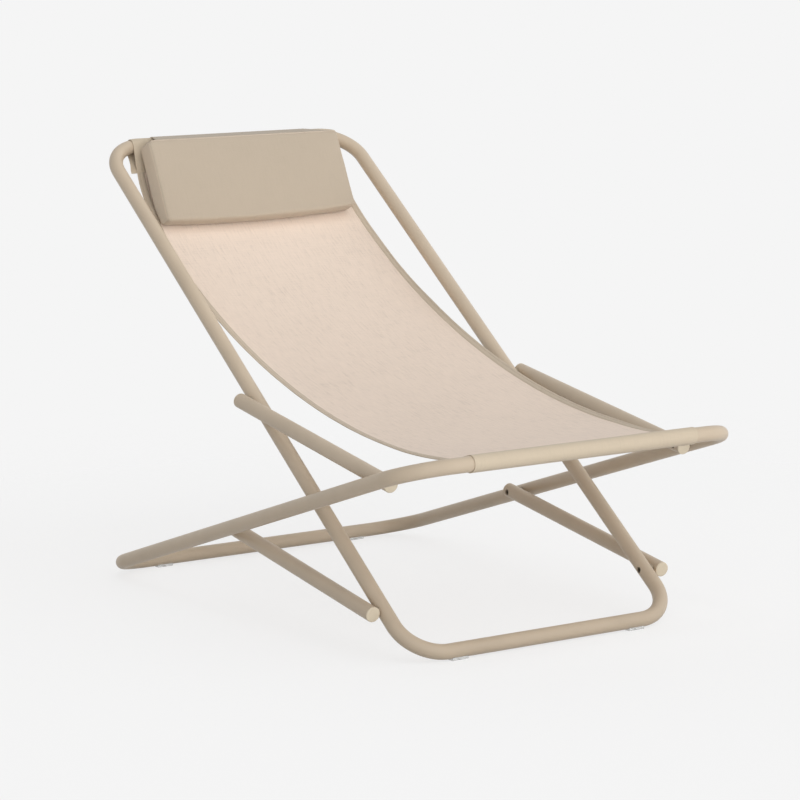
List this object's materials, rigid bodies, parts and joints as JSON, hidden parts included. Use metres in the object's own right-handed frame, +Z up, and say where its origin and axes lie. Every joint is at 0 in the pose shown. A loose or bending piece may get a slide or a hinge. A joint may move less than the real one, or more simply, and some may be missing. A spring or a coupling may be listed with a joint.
{
  "type": "folding sling deck chair",
  "caption": "Folding deck chair: two bent tube loops crossed by straight links on pivots, a cloth sling hung between them and a head pillow over the top bar.",
  "frame": {"origin": "middle of the chair's footprint, on the floor", "axes": "+X across the chair, +Y from the front of the seat to the back, +Z up"},
  "size_m": [0.6586, 1.1382, 0.7789],
  "materials": {
    "frame_paint": "satin paint on steel tube",
    "cap_plastic": "matt moulded",
    "spacer_plastic": "matt moulded",
    "plated_steel": "plated",
    "clear_plastic": "clear, smooth",
    "sling_cloth": "fine woven outdoor cloth with bound edges",
    "pillow_cloth": "fine woven outdoor cloth"
  },
  "bodies": {
    "back_frame": {"back_frame_tube": "frame_paint", "front_left_glide": "clear_plastic", "front_left_glide_screw": "plated_steel", "front_right_glide": "clear_plastic", "front_right_glide_screw": "plated_steel", "upper_back_pivot_left_screw": "plated_steel", "upper_back_pivot_left_spacer": "spacer_plastic", "upper_back_pivot_right_screw": "plated_steel", "upper_back_pivot_right_spacer": "spacer_plastic", "lower_back_pivot_left_screw": "plated_steel", "lower_back_pivot_left_spacer": "spacer_plastic", "lower_back_pivot_right_screw": "plated_steel", "lower_back_pivot_right_spacer": "spacer_plastic", "sling_top_sleeve": "sling_cloth", "sling_back": "sling_cloth", "pillow": "pillow_cloth", "pillow_flap": "pillow_cloth"},
    "seat_frame": {"seat_frame_tube": "frame_paint", "rear_left_glide": "clear_plastic", "rear_left_glide_screw": "plated_steel", "rear_right_glide": "clear_plastic", "rear_right_glide_screw": "plated_steel", "upper_seat_pivot_left_insert": "plated_steel", "upper_seat_pivot_right_insert": "plated_steel", "lower_seat_pivot_left_insert": "plated_steel", "lower_seat_pivot_right_insert": "plated_steel", "sling_front_sleeve": "sling_cloth", "sling_seat": "sling_cloth"},
    "upper_link_left": {"upper_link_left": "frame_paint", "upper_link_left_start_cap": "cap_plastic", "upper_link_left_end_cap": "cap_plastic", "upper_back_pivot_left_insert": "plated_steel", "upper_seat_pivot_left_screw": "plated_steel", "upper_seat_pivot_left_spacer": "spacer_plastic"},
    "upper_link_right": {"upper_link_right": "frame_paint", "upper_link_right_start_cap": "cap_plastic", "upper_link_right_end_cap": "cap_plastic", "upper_back_pivot_right_insert": "plated_steel", "upper_seat_pivot_right_screw": "plated_steel", "upper_seat_pivot_right_spacer": "spacer_plastic"},
    "lower_link_left": {"lower_link_left": "frame_paint", "lower_link_left_start_cap": "cap_plastic", "lower_link_left_end_cap": "cap_plastic", "lower_back_pivot_left_insert": "plated_steel", "lower_seat_pivot_left_screw": "plated_steel", "lower_seat_pivot_left_spacer": "spacer_plastic"},
    "lower_link_right": {"lower_link_right": "frame_paint", "lower_link_right_start_cap": "cap_plastic", "lower_link_right_end_cap": "cap_plastic", "lower_back_pivot_right_insert": "plated_steel", "lower_seat_pivot_right_screw": "plated_steel", "lower_seat_pivot_right_spacer": "spacer_plastic"}
  },
  "joints": [
    {"name": "upper_link_left_fold", "type": "hinge", "parent": "back_frame", "child": "upper_link_left", "pos_m": [-0.2835, 0.01334, 0.36441], "axis": [-1, 0, 0], "range_deg": [0, 149]},
    {"name": "upper_link_right_fold", "type": "hinge", "parent": "back_frame", "child": "upper_link_right", "pos_m": [0.2835, 0.01334, 0.36441], "axis": [-1, 0, 0], "range_deg": [0, 149]},
    {"name": "seat_frame_fold", "type": "hinge", "parent": "upper_link_left", "child": "seat_frame", "pos_m": [-0.3168, -0.43533, 0.29108], "axis": [1, 0, 0], "range_deg": [0, 28.6], "deforming": ["sling_seat"]},
    {"name": "lower_link_left_fold", "type": "hinge", "parent": "back_frame", "child": "lower_link_left", "pos_m": [-0.2835, -0.37665, 0.07541], "axis": [1, 0, 0], "range_deg": [0, 24.4]},
    {"name": "lower_link_right_fold", "type": "hinge", "parent": "back_frame", "child": "lower_link_right", "pos_m": [0.2835, -0.37665, 0.07541], "axis": [1, 0, 0], "range_deg": [0, 24.4]}
  ],
  "couplings": [
    {"joint": "upper_link_right_fold", "follows": "upper_link_left_fold", "ratio": 1},
    {"joint": "seat_frame_fold", "follows": "upper_link_left_fold", "ratio": 0.19195},
    {"joint": "lower_link_left_fold", "follows": "upper_link_left_fold", "ratio": 0.16376},
    {"joint": "lower_link_right_fold", "follows": "upper_link_left_fold", "ratio": 0.16376}
  ]
}
